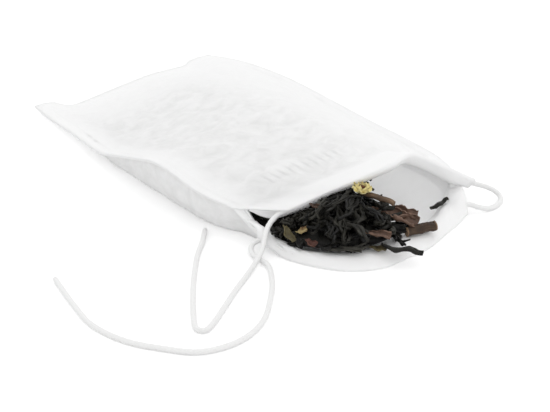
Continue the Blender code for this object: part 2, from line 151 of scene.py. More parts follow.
def mathNode(tree, operation, a, b, clamp=False):
    made = tree.nodes.new("ShaderNodeMath")
    made.operation = operation
    made.use_clamp = clamp
    for socket, value in zip(made.inputs, (a, b)):
        if isinstance(value, (int, float)):
            socket.default_value = value
        else:
            tree.links.new(value, socket)
    return made.outputs[0]


def ramp(tree, fac, stops):
    made = tree.nodes.new("ShaderNodeValToRGB")
    while len(made.color_ramp.elements) < len(stops):
        made.color_ramp.elements.new(0.5)
    for element, (at, colour) in zip(made.color_ramp.elements, stops):
        element.position = at
        element.color = (*colour, 1.0)
    tree.links.new(fac, made.inputs[0])
    return made.outputs[0]


def mixColour(tree, fac, a, b):
    made = tree.nodes.new("ShaderNodeMix")
    made.data_type = "RGBA"
    for socket, value in ((made.inputs[0], fac), (made.inputs[6], a), (made.inputs[7], b)):
        if isinstance(value, (int, float)):
            socket.default_value = value
        elif isinstance(value, tuple):
            socket.default_value = (*value, 1.0)
        else:
            tree.links.new(value, socket)
    return made.outputs[2]


def newGroup(name, inputs, outputs):
    group = bpy.data.node_groups.new(name, "ShaderNodeTree")
    for label, kind, default in inputs:
        socket = group.interface.new_socket(label, in_out="INPUT", socket_type=kind)
        if default is not None:
            socket.default_value = default
    for label, kind in outputs:
        group.interface.new_socket(label, in_out="OUTPUT", socket_type=kind)
    return group, group.nodes.new("NodeGroupInput"), group.nodes.new("NodeGroupOutput")


def seenDirectly(tree):
    # 1 for what the camera sees, also in a mirror or through glass, and 0 for the light on other things
    path = tree.nodes.new("ShaderNodeLightPath")
    bent = mathNode(tree, "MAXIMUM", path.outputs["Is Glossy Ray"], path.outputs["Is Transmission Ray"])
    return mathNode(tree, "MAXIMUM", path.outputs["Is Camera Ray"], bent)


# loose fibres laid in every direction, as thin streaks over soft clouds
fibreForm = {"turns": (0.35, 1.3, 2.2, 2.9), "stretch": (0.16, 2.4, 1), "fineness": 9.0, "cloudScale": 0.45}
fibres, fibreIn, fibreOut = newGroup(
    "fibreWeb",
    [("Vector", "NodeSocketVector", None), ("Scale", "NodeSocketFloat", 1.0)],
    [("Streaks", "NodeSocketFloat"), ("Clouds", "NodeSocketFloat")])
streaks = None
for turn in fibreForm["turns"]:
    placed = node(fibres, "ShaderNodeMapping")
    placed.inputs["Rotation"].default_value = (0, 0, turn)
    placed.inputs["Scale"].default_value = fibreForm["stretch"]
    fibres.links.new(fibreIn.outputs[0], placed.inputs[0])
    grainy = node(fibres, "ShaderNodeTexNoise", Detail=3.0, Roughness=0.6)
    fibres.links.new(placed.outputs[0], grainy.inputs["Vector"])
    fibres.links.new(fibreIn.outputs[1], grainy.inputs["Scale"])
    line = mathNode(fibres, "ABSOLUTE", mathNode(fibres, "SUBTRACT", grainy.outputs[0], 0.5), 0)
    line = mathNode(fibres, "MULTIPLY", line, fibreForm["fineness"], True)
    line = mathNode(fibres, "SUBTRACT", 1.0, line, True)
    streaks = line if streaks is None else mathNode(fibres, "MAXIMUM", streaks, line)
clouds = node(fibres, "ShaderNodeTexNoise", Detail=4.0, Roughness=0.65)
fibres.links.new(fibreIn.outputs[0], clouds.inputs["Vector"])
fibres.links.new(mathNode(fibres, "MULTIPLY", fibreIn.outputs[1], fibreForm["cloudScale"]),
                 clouds.inputs["Scale"])
fibres.links.new(streaks, fibreOut.inputs[0])
fibres.links.new(clouds.outputs[0], fibreOut.inputs[1])

# lengthwise wrinkles and tone of a dry leaf
leafTone = {"stretch": (60, 900, 1), "wrinkleScale": 2.2, "patchScale": 420.0, "shadeGain": 1.5,
            "shadeBase": 0.35, "darkest": 0.12, "contrast": 2.2}
dryLeaf, dryIn, dryOut = newGroup(
    "dryLeafSurface",
    [("Dark", "NodeSocketColor", (0.01, 0.009, 0.008, 1)),
     ("Light", "NodeSocketColor", (0.06, 0.05, 0.04, 1)),
     ("Grain", "NodeSocketFloat", 1.0)],
    [("Color", "NodeSocketColor"), ("Height", "NodeSocketFloat"), ("Sheen", "NodeSocketFloat")])
leafMap = node(dryLeaf, "ShaderNodeUVMap", uv_map="leaf")
leafShade = node(dryLeaf, "ShaderNodeAttribute", attribute_name="shade")
stretched = node(dryLeaf, "ShaderNodeMapping")
stretched.inputs["Scale"].default_value = leafTone["stretch"]
dryLeaf.links.new(leafMap.outputs[0], stretched.inputs[0])
wrinkles = node(dryLeaf, "ShaderNodeTexNoise", Detail=5.0, Roughness=0.6, Distortion=0.6)
dryLeaf.links.new(stretched.outputs[0], wrinkles.inputs["Vector"])
dryLeaf.links.new(mathNode(dryLeaf, "MULTIPLY", dryIn.outputs["Grain"], leafTone["wrinkleScale"]),
                  wrinkles.inputs["Scale"])
position = node(dryLeaf, "ShaderNodeTexCoord")
patches = node(dryLeaf, "ShaderNodeTexNoise", Scale=leafTone["patchScale"], Detail=3.0, Roughness=0.55)
dryLeaf.links.new(position.outputs["Object"], patches.inputs["Vector"])
tone = mathNode(dryLeaf, "MULTIPLY", wrinkles.outputs[0], patches.outputs[0])
lightness = mathNode(dryLeaf, "MULTIPLY", leafShade.outputs["Fac"], leafTone["shadeGain"])
tone = mathNode(dryLeaf, "MULTIPLY", tone, mathNode(dryLeaf, "ADD", lightness, leafTone["shadeBase"]))
tone = mathNode(dryLeaf, "MULTIPLY", mathNode(dryLeaf, "SUBTRACT", tone, leafTone["darkest"]),
                leafTone["contrast"], True)
dryLeaf.links.new(mixColour(dryLeaf, tone, dryIn.outputs["Dark"], dryIn.outputs["Light"]),
                  dryOut.inputs[0])
dryLeaf.links.new(wrinkles.outputs[0], dryOut.inputs[1])
dryLeaf.links.new(patches.outputs[0], dryOut.inputs[2])


def leafMaterial(name, dark, light, grain=1.0, rough=(0.42, 0.68), bump=0.25, specular=0.35):
    made, tree, shader = newMaterial(name)
    shader.inputs["Specular IOR Level"].default_value = specular
    surface = node(tree, "ShaderNodeGroup", node_tree=dryLeaf)
    surface.inputs["Dark"].default_value = (*dark, 1)
    surface.inputs["Light"].default_value = (*light, 1)
    surface.inputs["Grain"].default_value = grain
    tree.links.new(surface.outputs["Color"], shader.inputs["Base Color"])
    roughness = node(tree, "ShaderNodeMapRange", From_Min=0.3, From_Max=0.7, To_Min=rough[0],
                     To_Max=rough[1])
    tree.links.new(surface.outputs["Sheen"], roughness.inputs["Value"])
    tree.links.new(roughness.outputs[0], shader.inputs["Roughness"])
    relief = node(tree, "ShaderNodeBump", Strength=bump, Distance=0.0003)
    tree.links.new(surface.outputs["Height"], relief.inputs["Height"])
    tree.links.new(relief.outputs[0], shader.inputs["Normal"])
    return made


teaBlack = leafMaterial("blackTeaLeaf", (0.003, 0.0028, 0.0025), (0.042, 0.04, 0.032), 1.0,
                        (0.28, 0.46), 0.5, 0.2)
leafBrown = leafMaterial("brownLeaf", (0.05, 0.027, 0.018), (0.23, 0.14, 0.1), 0.8)
leafOlive = leafMaterial("oliveLeaf", (0.06, 0.048, 0.02), (0.24, 0.2, 0.09), 0.8)
leafRusset = leafMaterial("russetLeaf", (0.09, 0.035, 0.024), (0.34, 0.16, 0.11), 0.8)
petalYellow = leafMaterial("yellowPetal", (0.12, 0.04, 0.012), (0.88, 0.78, 0.38), 0.7, (0.55, 0.75), 0.12)
twigBark = leafMaterial("twigBark", (0.04, 0.024, 0.015), (0.24, 0.155, 0.095), 1.4, (0.6, 0.8), 0.5)

# String
string = {"diameter": 1.2, "rings": 620, "sides": 18, "strands": 3, "pitch": 4.6, "groove": 0.13,
          "uneven": 0.03, "endShare": 0.86}
stringRoute = (
    (21.4, -29.9, 0.65), (25.6, -33.6, 0.65), (30.0, -38.0, 0.65), (36.2, -43.2, 0.65),
    (42.2, -47.8, 0.65), (51.1, -54.0, 0.65), (55.6, -56.5, 0.65), (57.2, -55.6, 0.65),
    (55.6, -52.2, 0.65), (47.9, -41.5, 0.65), (43.0, -34.2, 0.7), (40.3, -29.9, 1.4),
    (38.6, -27.2, 2.8), (37.2, -25.6, 4.2), (35.9, -23.9, 5.2), (34.9, -21.9, 5.9),
    (34.3, -19.5, 6.4), (35.1, -17.0, 7.1), (35.5, -14.1, 8.2), (37.0, -11.0, 9.8),
    (39.4, -6.4, 11.6), (41.5, -1.5, 13.3), (42.2, 2.6, 14.4), (41.8, 5.7, 14.8),
    (41.4, 8.6, 14.5), (40.8, 13.2, 12.0), (40.5, 17.9, 9.3), (41.1, 21.3, 6.6),
    (42.0, 24.1, 5.0), (42.8, 27.1, 3.7), (43.7, 29.4, 2.8), (45.4, 31.3, 2.0),
    (47.6, 31.9, 1.3), (49.6, 30.8, 0.8), (50.8, 28.4, 0.65), (51.0, 25.9, 0.75),
    (50.3, 23.6, 1.4), (48.9, 21.6, 2.2), (48.7, 18.2, 1.8), (48.9, 15.8, 1.4),
    (50.4, 12.6, 1.3), (52.5, 7.4, 1.2), (53.8, 0.3, 1.2), (54.3, -7.0, 1.2),
    (52.5, -13.9, 1.2), (47.9, -19.4, 1.2), (43.4, -22.4, 1.2), (41.2, -23.0, 1.25),
    (38.9, -23.45, 1.62), (37.3, -23.85, 2.07), (36.4, -24.45, 2.45), (35.5, -25.4, 2.55),
    (35.0, -26.7, 2.2), (35.4, -28.0, 1.5), (37.0, -28.8, 0.85), (39.6, -28.8, 0.65),
    (42.5, -29.0, 0.65), (46.7, -31.2, 0.65), (52.5, -35.5, 0.65), (61.5, -44.8, 0.65),
    (64.7, -53.1, 0.65), (63.4, -61.2, 0.65), (57.4, -66.6, 0.65), (50.8, -70.4, 0.65),
    (41.8, -72.0, 0.65), (32.3, -70.4, 0.65), (20.9, -67.6, 0.65))


def stringLine():
    route = [Vector(p) for p in stringRoute]
    curve, knots = smoothCurve(route), lengthShares(route)
    fine = []
    for i in range(4 * string["rings"] + 1):
        k, part = divmod(i / (4 * string["rings"]) * (len(route) - 1), 1)
        start, stop = knots[int(k)], knots[min(int(k) + 1, len(route) - 1)]
        fine.append(curve(start + (stop - start) * part))
    shares, line, at = lengthShares(fine), [], 0
    for i in range(string["rings"] + 1):
        while at < len(shares) - 2 and shares[at + 1] < i / string["rings"]:
            at += 1
        part = (i / string["rings"] - shares[at]) / max(1e-9, shares[at + 1] - shares[at])
        line.append(fine[at].lerp(fine[at + 1], part))
    return line


def makeString():
    line, rings, sides = stringLine(), string["rings"], string["sides"]
    shape = bmesh.new()
    bmesh.ops.create_grid(shape, x_segments=rings, y_segments=sides, size=0.5)
    uv = shape.loops.layers.uv.new("yarn")
    for face in shape.faces:
        for loop in face.loops:
            loop[uv].uv = (loop.vert.co.x + 0.5, loop.vert.co.y + 0.5)
    length = sum((b - a).length for a, b in zip(line, line[1:]))
    sideways = Vector((0, 0, 1))
    frames = []
    for i, point in enumerate(line):
        along = (line[min(i + 1, rings)] - line[max(i - 1, 0)]).normalized()
        sideways = (sideways - along * sideways.dot(along)).normalized()
        frames.append((point, sideways.copy(), along.cross(sideways)))
    half, strands = string["diameter"] / 2, string["strands"]
    for vert in shape.verts:
        i = round((vert.co.x + 0.5) * rings)
        around = (vert.co.y + 0.5) * 2 * math.pi
        point, a, b = frames[i]
        run = i / rings * length
        lobes = abs(math.cos(strands / 2 * around - math.pi * strands * run / string["pitch"]))
        wander = noise.noise(Vector((run / 2.5, math.cos(around), math.sin(around)))) * string["uneven"]
        radius = half * (1 - string["groove"] + string["groove"] * lobes**0.7 + wander)
        if i in (0, rings):
            radius *= string["endShare"]
        vert.co = (point + (a * math.cos(around) + b * math.sin(around)) * radius) * mm
    bmesh.ops.remove_doubles(shape, verts=shape.verts[:], dist=1e-7)
    bmesh.ops.holes_fill(shape, edges=[e for e in shape.edges if e.is_boundary], sides=0)
    piece = finishMesh("twistedString", shape, cottonYarn(), ("drawstring",))
    [tuple(p * mm) for p in line]
    return piece


def cottonYarn():
    made, tree, shader = newMaterial("cottonYarn")
    yarnMap = node(tree, "ShaderNodeUVMap", uv_map="yarn")
    turned = node(tree, "ShaderNodeMapping")
    turned.inputs["Scale"].default_value = (320, 6, 1)
    turned.inputs["Rotation"].default_value = (0, 0, 0.02)
    tree.links.new(yarnMap.outputs[0], turned.inputs[0])
    hairs = node(tree, "ShaderNodeTexNoise", Scale=2.0, Detail=4.0, Roughness=0.65, Distortion=0.4)
    tree.links.new(turned.outputs[0], hairs.inputs["Vector"])
    tree.links.new(ramp(tree, hairs.outputs[0], [(0.3, (0.86, 0.86, 0.85)), (0.7, (0.93, 0.93, 0.93))]),
                   shader.inputs["Base Color"])
    relief = node(tree, "ShaderNodeBump", Strength=0.3, Distance=0.0001)
    tree.links.new(hairs.outputs[0], relief.inputs["Height"])
    tree.links.new(relief.outputs[0], shader.inputs["Normal"])
    shader.inputs["Roughness"].default_value = 0.9
    shader.inputs["Sheen Weight"].default_value = 0.3
    return made


stringPiece = makeString()
print("string made")

# Filter pouch
pouch = {"length": 116.5, "width": 59.0, "height": 16.0, "fabric": 0.25, "seam": 3.0, "hem": 9.0,
         "channel": 2.1, "wallShare": 0.012, "wallBulge": 0.22}
seamEnd = 1 - pouch["hem"] / pouch["length"]
endStrip = pouch["seam"] / pouch["length"]
sideStrip = pouch["seam"] / pouch["width"]
sideColumn, wallColumn = 1 / 18, 5 / 18


def place(along, across, up):
    return Vector(((along - 0.5) * pouch["length"], (across - 0.5) * pouch["width"],
                   up * pouch["height"]))


nearClosed, farClosed = place(0.0, 0.086, 0.07), place(0.014, 0.955, 0.17)
nearSplit, farSplit = place(0.727, 0.06, 0.40), place(0.83, 0.968, 0.24)
nearSeam = smoothCurve([
    nearClosed, place(0.064, 0.066, 0.08), place(0.174, 0.044, 0.12), place(0.261, 0.02, 0.16),
    place(0.322, 0.003, 0.21), place(0.38, 0.002, 0.32), place(0.453, 0.0, 0.47),
    place(0.51, 0.004, 0.56), place(0.575, 0.002, 0.56), place(0.642, 0.003, 0.51),
    place(0.69, 0.022, 0.47), nearSplit])
farSeam = smoothCurve([
    farClosed, place(0.085, 0.985, 0.24), place(0.166, 0.99, 0.32), place(0.291, 0.99, 0.38),
    place(0.428, 0.985, 0.38), place(0.566, 0.975, 0.38), place(0.675, 0.99, 0.34),
    place(0.762, 0.996, 0.29), farSplit])
closedEnd = smoothCurve([
    nearClosed, place(0.045, 0.14, 0.08), place(0.056, 0.212, 0.11), place(0.058, 0.386, 0.19),
    place(0.056, 0.586, 0.26), place(0.041, 0.797, 0.2), farClosed])
upperLip = smoothCurve([
    place(0.805, 0.178, 0.46), place(0.83, 0.298, 0.63), place(0.855, 0.397, 0.79),
    place(0.88, 0.541, 0.97), place(0.87, 0.65, 1.0), place(0.862, 0.771, 0.76),
    place(0.862, 0.876, 0.51), place(0.88, 0.965, 0.3)])
lowerLip = smoothCurve([
    place(0.812, 0.083, 0.09), place(0.861, 0.097, 0.04), place(0.924, 0.15, 0.016),
    place(0.966, 0.22, 0.016), place(0.992, 0.325, 0.016), place(0.99, 0.456, 0.016),
    place(0.984, 0.564, 0.016), place(0.956, 0.712, 0.02), place(0.929, 0.847, 0.06)])
crownLine = smoothCurve([
    Vector((0.0, 0.23, 0)), Vector((0.08, 0.56, 0)), Vector((0.2, 0.84, 0)), Vector((0.36, 0.98, 0)),
    Vector((0.55, 1.0, 0)), Vector((0.78, 0.99, 0)), Vector((1.0, 0.94, 0))])


def sideEdge(seam, lipEnd, s):
    if s <= seamEnd:
        return seam(s / seamEnd)
    return seam(1.0).lerp(lipEnd, level(s, seamEnd, 1))


def sheetPoint(lip, s, v):
    near, far = sideEdge(nearSeam, lip(0.0), s), sideEdge(farSeam, lip(1.0), s)
    corners = (1 - s) * nearClosed.lerp(farClosed, v) + s * lip(0.0).lerp(lip(1.0), v)
    point = (1 - s) * closedEnd(v) + s * lip(v) + near.lerp(far, v) - corners
    ending = closedEnd(v) + Vector((s * pouch["length"], 0, 0))
    point = point.lerp(ending, 1 - rise(s, endStrip, endStrip + 0.12))
    across = far - near
    across.z = 0.0
    across.normalize()
    hold = 1 - level(s, seamEnd, 1)
    nearStrip = near + across * v * pouch["width"]
    farStrip = far - across * (1 - v) * pouch["width"]
    point = point.lerp(nearStrip, hold * (1 - rise(v, sideStrip, sideStrip + 0.15)))
    return point.lerp(farStrip, hold * (1 - rise(1 - v, sideStrip, sideStrip + 0.15)))


def upperPoint(s, v):
    point = sheetPoint(upperLip, s, v)
    crown = crownLine(s).y * pouch["height"] - pouch["fabric"] - sheetPoint(upperLip, s, 0.5).z
    swell = math.sin(math.pi * level(v, sideStrip, 1 - sideStrip)) ** 0.85
    point.z += crown * swell * rise(s, endStrip, endStrip + 0.03) * (1 - rise(s, 0.8, 1))
    return point


def lowerPoint(s, t):
    side = min(t, 1 - t)
    turn = math.pi * level(side, sideColumn, wallColumn)
    free = rise(s, seamEnd, 1)
    if side <= sideColumn:
        v = sideStrip * side / sideColumn
    else:
        v = sideStrip + pouch["wallShare"] * (1 - math.cos(turn)) / 2
        v += (0.5 - sideStrip - pouch["wallShare"]) * level(side, wallColumn, 0.5)
    v += (side - v) * free
    point = sheetPoint(lowerLip, s, v if t < 0.5 else 1 - v)
    wall = (1 - math.cos(turn)) / 2 * rise(s, endStrip, endStrip + 0.05)
    drop = wall + (rise(side, 0, 2 * sideColumn) - wall) * free
    swell = pouch["wallBulge"] * point.z * math.sin(turn) ** 0.6 * (1 - free)
    point.y += (-swell if t < 0.5 else swell) * rise(s, endStrip, endStrip + 0.1)
    point.z += (pouch["fabric"] - point.z) * drop
    return point


cloth = {
    "rows": 96, "columns": 84, "stripColumns": 3, "hemRows": 12,
    "lipHeight": 0.42, "lowerLipHeight": 0.2, "crumple": 0.42, "crease": 0.2, "leafRelief": 0.28,
    "gathers": 0.1, "gatherTurns": 381.0, "mapSize": 100,
}
# how far the folded hem stands off its ply, from its edge to the lip
foldEnd = ((0.6, 0.82), (0.5, 0.6), (0.42, 0.35), (0.36, 0.15), (0.3, 0.03))
foldRows = ((0.97, 0.62), (0.9, 0.84), (0.8, 0.98), (0.7, 0.95)) + foldEnd
lowerFoldRows = ((0.97, 0.34), (0.9, 0.56), (0.8, 0.8), (0.7, 0.84)) + foldEnd
foldTurns = (30, 60, 90, 120, 150)


def leafBumps(x, y, seed):
    total = 0.0
    for k, turn in enumerate((0.4, 1.35, 2.3)):
        a = x * math.cos(turn) + y * math.sin(turn)
        b = -x * math.sin(turn) + y * math.cos(turn)
        ridge = 1 - 2.6 * abs(noise.noise(Vector((a / 5.5, b / 1.9, seed + 7.3 * k))))
        total += max(0.0, ridge) ** 1.5
    return total / 1.6 - 0.35


def gatherMask(s, v):
    # short folds in a row beside the near half of the lip
    return math.exp(-((s - 0.868) / 0.017) ** 2) * rise(v, 0.17, 0.21) * (1 - rise(v, 0.44, 0.5))


def upperRelief(s, v):
    x, y = s * pouch["length"], v * pouch["width"]
    inside = (rise(s, endStrip, 0.09) * rise(v, sideColumn, 0.12) * rise(1 - v, sideColumn, 0.12)
              * (1 - rise(s, 0.925, 0.95)))
    crumple = noise.noise(Vector((x / 12, y / 9, 1.5))) + 0.5 * noise.noise(Vector((x / 5, y / 4, 4.2)))
    crease = max(0.0, 1 - 3.2 * abs(noise.noise(Vector(((x - y) / 16, (x + y) / 6, 8.1))))) ** 2
    tea = (rise(s, 0.14, 0.26) * (1 - rise(s, 0.88, 0.93)) * rise(v, 0.1, 0.2)
           * (1 - rise(v, 0.46, 0.64)))
    return (inside * (cloth["crumple"] * crumple * 0.6 + cloth["crease"] * crease
                      + cloth["leafRelief"] * tea * leafBumps(x, y, 0.0))
            + cloth["gathers"] * gatherMask(s, v))


def lowerRelief(s, t):
    side = min(t, 1 - t)
    wall = rise(side, sideColumn, 0.1) * (1 - rise(side, 0.2, wallColumn)) * rise(s, 0.06, 0.2)
    wall *= 1 - rise(s, 0.8, 0.92)
    x, y = s * pouch["length"], t * pouch["width"] * 1.3
    bumps = leafBumps(x, y, 21.0) * cloth["leafRelief"] * rise(s, 0.14, 0.3)
    crumple = noise.noise(Vector((x / 7, y / 4, 12.0))) * cloth["crumple"] * 0.7
    return wall * (bumps * 1.2 + crumple)


def clothRows():
    first = [0.0, endStrip / 2, endStrip, endStrip + 0.006, endStrip + 0.012, endStrip + 0.018]
    start = first[-1]
    body = [start + (seamEnd - start) * (i + 1) / cloth["rows"] for i in range(cloth["rows"])]
    hem = [seamEnd + (1 - seamEnd) * (i + 1) / cloth["hemRows"] for i in range(cloth["hemRows"])]
    return first + body + hem


def clothColumns():
    n, inner = cloth["stripColumns"], cloth["columns"]
    strip = [sideColumn * i / n for i in range(n)]
    middle = [sideColumn + (1 - 2 * sideColumn) * i / inner for i in range(inner + 1)]
    return strip + middle + [1 - t for t in strip[::-1]]


def plyTable(point, relief, out):
    # inner face and outward direction of a ply, to the lip and back along the folded hem
    rows, columns = clothRows(), clothColumns()
    bare = np.array([[point(s, t) for t in columns] for s in rows])
    along, across = np.gradient(bare, axis=0), np.gradient(bare, axis=1)
    normal = np.cross(along, across)
    normal /= np.linalg.norm(normal, axis=2, keepdims=True)
    normal *= out
    lift = np.array([[relief(s, t) for t in columns] for s in rows])
    face = bare + normal * lift[..., None]
    forward = bare[-1] - bare[-2]
    forward /= np.linalg.norm(forward, axis=1, keepdims=True)
    faces, outs, marks = list(face), list(normal), [(s, 0.0) for s in rows]
    half = pouch["channel"] * cloth["lipHeight" if out > 0 else "lowerLipHeight"] / 2
    for turn in foldTurns:
        c, d = math.cos(math.radians(turn)), math.sin(math.radians(turn))
        faces.append(bare[-1] - normal[-1] * half * (1 - c) + forward * 0.35 * d)
        outs.append(normal[-1] * c + forward * d)
        marks.append((1.0, 1.0))
    for share, bow in foldRows if out > 0 else lowerFoldRows:
        s = seamEnd + (1 - seamEnd) * share
        line = np.array([point(s, t) for t in columns])
        k = min(range(len(rows)), key=lambda i: abs(rows[i] - s))
        wave = np.array([noise.noise(Vector((s * 40, t * 22, 3.0 + out))) for t in columns])
        depth = pouch["channel"] * bow + 0.12 * wave * level(bow, 0.05, 0.5)
        faces.append(line - normal[k] * depth[:, None])
        outs.append(-normal[k])
        marks.append((s, 1.0))
    return np.array(faces), np.array(outs), marks, columns


def teaBehind(s, v, out):
    # how dark the tea shows through, from 0 to 1
    if out > 0:
        shown = rise(s, 0.1, 0.3) * (1 - rise(s, 0.93, 0.95)) * rise(v, 0.05, 0.16)
        return shown * (1 - rise(v, 0.42, 0.78))
    side = min(v, 1 - v)
    return rise(s, 0.08, 0.3) * rise(side, sideColumn, 0.1) * (1 - rise(s, 0.93, 0.95)) * (v < 0.6)


def addPly(shape, point, relief, out):
    faces, outs, marks, columns = plyTable(point, relief, out)
    rows, across = len(faces) - 1, len(columns) - 1
    ply = gridShell(rows, across)
    clothMap = ply.loops.layers.uv.new("cloth")
    behind = ply.verts.layers.float.new("teaBehind")
    double = ply.verts.layers.float.new("doubled")
    sealed = ply.verts.layers.float.new("sealed")
    gathered = ply.verts.layers.float.new("gathered")
    travel = np.concatenate([[0], np.cumsum(np.linalg.norm(
        np.diff(faces[:, across // 2], axis=0), axis=1))])
    spots = {vert: gridSpot(vert, rows, across) for vert in ply.verts}
    beside = 0 if out > 0 else 1    # the lower ply has its own part of the map
    for face in ply.faces:
        for loop in face.loops:
            i, j = spots[loop.vert][:2]
            loop[clothMap].uv = (travel[i] / cloth["mapSize"],
                                 columns[j] * pouch["width"] / cloth["mapSize"] + beside)
    for vert, (i, j, outer) in spots.items():
        s, folded = marks[i]
        t = columns[j]
        vert.co = Vector((faces[i, j] + outs[i, j] * (pouch["fabric"] if outer else 0.01)) * mm)
        inStrip = s <= endStrip + 1e-6 or (s <= seamEnd and min(t, 1 - t) <= sideColumn + 1e-6)
        vert[sealed] = 1.0 if inStrip else 0.0
        vert[double] = max(folded, rise(s, 0.943, 0.949))
        vert[behind] = teaBehind(s, t, out) * (1 - vert[sealed])
        vert[gathered] = gatherMask(s, t) if out > 0 and not folded else 0.0
    bmesh.ops.recalc_face_normals(ply, faces=ply.faces)
    joinInto(shape, ply)


# the grey for the inside of the gathered folds is painted shade
fabric = {
    "thin": (0.92, 0.92, 0.92), "thinLight": (0.95, 0.95, 0.95), "overTea": (0.80, 0.80, 0.795),
    "doubled": (0.96, 0.96, 0.96), "paintedFoldShade": (0.72, 0.72, 0.72), "streaks": 0.18, "webScale": 150.0,
    "blotScale": 26.0, "blotShare": 0.75, "sealShare": 0.6, "sealPitch": 95.0, "lightThrough": 0.74,
    "scatter": 0.6, "scatterDepth": 0.0003,
}


def nonwoven():
    made, tree, shader = newMaterial("nonwovenFabric")
    fabricMap = node(tree, "ShaderNodeUVMap", uv_map="cloth")
    web = node(tree, "ShaderNodeGroup", node_tree=fibres)
    web.inputs["Scale"].default_value = fabric["webScale"]
    tree.links.new(fabricMap.outputs[0], web.inputs["Vector"])
    masks = [node(tree, "ShaderNodeAttribute", attribute_name=name).outputs["Fac"]
             for name in ("teaBehind", "doubled", "sealed", "gathered")]
    behind, double, sealed, gathered = masks

    # tea that shows through, in blots
    blots = node(tree, "ShaderNodeTexNoise", Scale=fabric["blotScale"], Detail=4.0, Roughness=0.62,
                 Distortion=0.7)
    tree.links.new(fabricMap.outputs[0], blots.inputs["Vector"])
    single = ramp(tree, web.outputs["Clouds"], [(0.3, fabric["thin"]), (0.7, fabric["thinLight"])])
    tint = mathNode(tree, "MULTIPLY", mathNode(tree, "SUBTRACT", blots.outputs[0], 0.38), 3.2, True)
    tint = mathNode(tree, "MULTIPLY", tint, behind)
    tint = mathNode(tree, "ADD", mathNode(tree, "MULTIPLY", tint, fabric["blotShare"]),
                    mathNode(tree, "MULTIPLY", behind, 1 - fabric["blotShare"]), True)
    colour = mixColour(tree, tint, single, fabric["overTea"])

    # short folds in a row beside the lip, with painted shade that darkens the colour inside each fold
    spread = tree.nodes.new("ShaderNodeSeparateXYZ")
    tree.links.new(fabricMap.outputs[0], spread.inputs[0])
    folds = mathNode(tree, "MULTIPLY", spread.outputs["Y"], cloth["gatherTurns"])
    folds = mathNode(tree, "SUBTRACT", mathNode(tree, "SINE", folds, 0), 0.1, True)
    folds = mathNode(tree, "MULTIPLY", folds, gathered)
    # painted shade: the colour is darkened inside each fold
    colour = mixColour(tree, folds, colour, fabric["paintedFoldShade"])

    # hems and sealed edges are whiter, and so are single fibres
    thick = mathNode(tree, "MULTIPLY", sealed, fabric["sealShare"])
    thick = mathNode(tree, "MAXIMUM", double, thick)
    colour = mixColour(tree, thick, colour, fabric["doubled"])
    streak = mathNode(tree, "MULTIPLY", web.outputs["Streaks"], fabric["streaks"])
    tree.links.new(mixColour(tree, streak, colour, fabric["doubled"]), shader.inputs["Base Color"])

    # relief: fibres, the dots pressed into the seals, the folds and the tea
    press = node(tree, "ShaderNodeTexVoronoi", Scale=fabric["sealPitch"])
    press.inputs["Randomness"].default_value = 0.12
    tree.links.new(fabricMap.outputs[0], press.inputs["Vector"])
    dots = mathNode(tree, "MULTIPLY", press.outputs["Distance"],
                    mathNode(tree, "MULTIPLY", sealed, 1.6))
    height = mathNode(tree, "ADD", mathNode(tree, "MULTIPLY", web.outputs["Streaks"], 0.25),
                      mathNode(tree, "MULTIPLY", web.outputs["Clouds"], 0.9))
    height = mathNode(tree, "ADD", height, dots)
    height = mathNode(tree, "SUBTRACT", height, mathNode(tree, "MULTIPLY", folds, 2.0))
    height = mathNode(tree, "ADD", height, mathNode(tree, "MULTIPLY", tint, -1.5))
    relief = node(tree, "ShaderNodeBump", Strength=0.3, Distance=0.0002)
    tree.links.new(height, relief.inputs["Height"])
    tree.links.new(relief.outputs[0], shader.inputs["Normal"])

    # camera rays meet the cloth whole, and part of the light goes on through it
    path = tree.nodes.new("ShaderNodeLightPath")
    passing = mathNode(tree, "MAXIMUM", path.outputs["Is Shadow Ray"], path.outputs["Is Diffuse Ray"])
    passing = mathNode(tree, "MULTIPLY", passing, fabric["lightThrough"])
    tree.links.new(mathNode(tree, "SUBTRACT", 1.0, passing), shader.inputs["Alpha"])
    shader.inputs["Roughness"].default_value = 0.85
    shader.inputs["Subsurface Weight"].default_value = fabric["scatter"]
    shader.inputs["Subsurface Radius"].default_value = (1.0, 1.0, 1.0)
    shader.inputs["Subsurface Scale"].default_value = fabric["scatterDepth"]
    return made


def makePouch():
    shape = bmesh.new()
    addPly(shape, upperPoint, upperRelief, 1)
    addPly(shape, lowerPoint, lowerRelief, -1)
    return finishMesh("sewnPouch", shape, nonwoven(), ("filter_pouch",), False)


pouchPiece = makePouch()
print("pouch made")

# Tea
heap = {"rows": 84, "columns": 56, "start": 0.09, "stop": 0.965, "lumps": 0.75, "clearance": 0.35,
        "mapStep": 900, "shade": 0.3}


def heapShare(s, u):
    front = 1 - 0.7 * rise(s, 0.87, 0.985)
    back = 0.35 + 0.65 * rise(s, heap["start"], 0.25)
    return 0.93 * front * back * (1 - 0.8 * level(u, 0.55, 1) ** 2)


def heapAcross(s, u):
    farLimit = 0.84 - 0.27 * rise(s, 0.55, 0.88)
    nearLimit = sideStrip + pouch["wallShare"] + 0.045 + 0.1 * rise(s, 0.78, 0.95)
    return nearLimit + (farLimit - nearLimit) * u


def heapFloor(s, u):
    point = sheetPoint(lowerLip, s, heapAcross(s, u))
    bed = pouch["fabric"] + heap["clearance"] + (pouch["channel"] + pouch["fabric"]) * rise(
        s, seamEnd - 0.015, seamEnd + 0.018)
    point.z += (bed - point.z) * rise(s, endStrip, endStrip + 0.05)
    return point


def heapTop(s, u):
    low = heapFloor(s, u)
    high = upperPoint(s, heapAcross(s, u)) - Vector((0, 0, 2 * heap["clearance"]))
    share = heapShare(s, u)
    point = low.lerp(high, share * share)
    room = pouch["channel"] + 2 * pouch["fabric"] + 3 * heap["clearance"]
    room *= 1.6 - 0.6 * level(u, 0, 0.6)
    point.z = max(min(high.z * share, high.z - room * rise(s, 0.78, 0.86)), low.z + 0.5)
    return point


